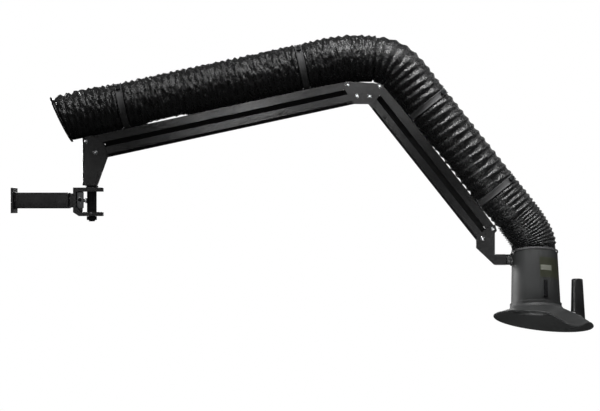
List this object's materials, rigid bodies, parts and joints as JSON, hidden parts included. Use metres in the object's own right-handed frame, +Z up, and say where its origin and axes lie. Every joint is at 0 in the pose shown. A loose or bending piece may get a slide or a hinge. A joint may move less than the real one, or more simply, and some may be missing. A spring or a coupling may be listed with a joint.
{
  "type": "fume extraction arm",
  "caption": "Wall-mounted fume extraction arm: a ribbed hose on two parallelogram links, ending in a tilting flanged hood.",
  "frame": {"origin": "middle of the wall plate's back face", "axes": "+X out from the wall, +Z up"},
  "size_m": [1.967, 0.3296, 1.0141],
  "materials": {
    "black_paint": "satin black powder coat",
    "bronze_bush": "plain bronze",
    "zinc_steel": "bright zinc plate",
    "dark_steel": "black oxide",
    "strap_rubber": "smooth dark grey rubber band",
    "hose_fabric": "coated black fabric over a wire helix",
    "hood_plastic": "fine-grained dark grey moulding"
  },
  "bodies": {
    "wall_bracket": {"wall_plate": "black_paint", "wall_tube": "black_paint", "slew_fork": "black_paint", "upper_column_bush": "bronze_bush", "lower_column_bush": "bronze_bush", "slew_brake_pad": "zinc_steel", "slew_brake_screw": "zinc_steel"},
    "upright": {"slew_column": "dark_steel", "column_nut": "dark_steel", "upright": "black_paint", "rear_top_pin": "zinc_steel", "rear_tie_pin": "zinc_steel", "inlet_cuff": "black_paint", "hose_inlet": "hose_fabric"},
    "upper_hose_link": {"upper_hose_bar": "black_paint", "upper_hose_strap_1": "strap_rubber", "upper_hose_strap_2": "strap_rubber", "hose_upper": "hose_fabric", "hose_elbow_in": "hose_fabric"},
    "upper_tie_link": {"upper_tie_bar": "black_paint", "upper_strut_cylinder": "dark_steel", "upper_strut_rod": "zinc_steel", "upper_strut_fixed_pin": "dark_steel", "upper_strut_rod_pin": "dark_steel"},
    "elbow": {"elbow_bracket": "black_paint", "elbow_upper_top_pin": "zinc_steel", "elbow_upper_tie_pin": "zinc_steel", "elbow_lower_top_pin": "zinc_steel", "elbow_lower_tie_pin": "zinc_steel", "hose_elbow_out": "hose_fabric"},
    "lower_hose_link": {"lower_hose_bar": "black_paint", "lower_hose_strap_1": "strap_rubber", "lower_hose_strap_2": "strap_rubber", "hose_lower": "hose_fabric", "hose_outlet": "hose_fabric"},
    "lower_tie_link": {"lower_tie_bar": "black_paint", "lower_strut_cylinder": "dark_steel", "lower_strut_rod": "zinc_steel", "lower_strut_fixed_pin": "dark_steel", "lower_strut_rod_pin": "dark_steel"},
    "hanger": {"hanger_bracket": "black_paint", "hanger_top_pin": "zinc_steel", "hanger_tie_pin": "zinc_steel", "hood_pivot_bolt": "zinc_steel", "hose_neck": "hose_fabric"},
    "hood": {"hood_nozzle": "hood_plastic", "hose_collar": "strap_rubber", "hood_flange": "hood_plastic", "hood_handle": "hood_plastic"},
    "damper": {"damper_blade": "zinc_steel", "damper_lever": "black_paint"}
  },
  "joints": [
    {"name": "slew", "type": "hinge", "parent": "wall_bracket", "child": "upright", "pos_m": [0.268, 0, 0], "axis": [0, 0, 1], "range_deg": [-90, 90]},
    {"name": "upper_tilt", "type": "hinge", "parent": "upright", "child": "upper_hose_link", "pos_m": [0.25, 0, 0.201], "axis": [0, -1, 0], "range_deg": [-18, 45], "deforming": ["hose_inlet"]},
    {"name": "upper_tie_pivot", "type": "hinge", "parent": "upright", "child": "upper_tie_link", "pos_m": [0.282, 0, 0.163], "axis": [0, -1, 0], "range_deg": [-19, 46]},
    {"name": "elbow_level", "type": "hinge", "parent": "upper_hose_link", "child": "elbow", "pos_m": [1.13749, 0, 0.39288], "axis": [0, -1, 0], "range_deg": [-46, 19], "deforming": ["hose_elbow_in"]},
    {"name": "lower_tilt", "type": "hinge", "parent": "elbow", "child": "lower_hose_link", "pos_m": [1.24649, 0, 0.38788], "axis": [0, -1, 0], "range_deg": [-38, 48], "deforming": ["hose_elbow_out"]},
    {"name": "lower_tie_pivot", "type": "hinge", "parent": "elbow", "child": "lower_tie_link", "pos_m": [1.21149, 0, 0.35418], "axis": [0, -1, 0], "range_deg": [-39, 49]},
    {"name": "hanger_level", "type": "hinge", "parent": "lower_hose_link", "child": "hanger", "pos_m": [1.62993, 0, -0.09589], "axis": [0, -1, 0], "range_deg": [-49, 39], "deforming": ["hose_outlet"]},
    {"name": "hood_roll", "type": "hinge", "parent": "hanger", "child": "hood", "pos_m": [1.68, 0, -0.201], "axis": [1, 0, 0], "range_deg": [-20, 52], "deforming": ["hose_neck"]},
    {"name": "damper_turn", "type": "hinge", "parent": "hood", "child": "damper", "pos_m": [1.774, -0.0207, -0.29064], "axis": [0.3007, -0.9293, 0.2145], "range_deg": [0, 85]}
  ],
  "couplings": [
    {"joint": "upper_tie_pivot", "follows": "upper_tilt", "ratio": 1},
    {"joint": "elbow_level", "follows": "upper_tilt", "ratio": -1},
    {"joint": "lower_tie_pivot", "follows": "lower_tilt", "ratio": 1},
    {"joint": "hanger_level", "follows": "lower_tilt", "ratio": -1}
  ]
}
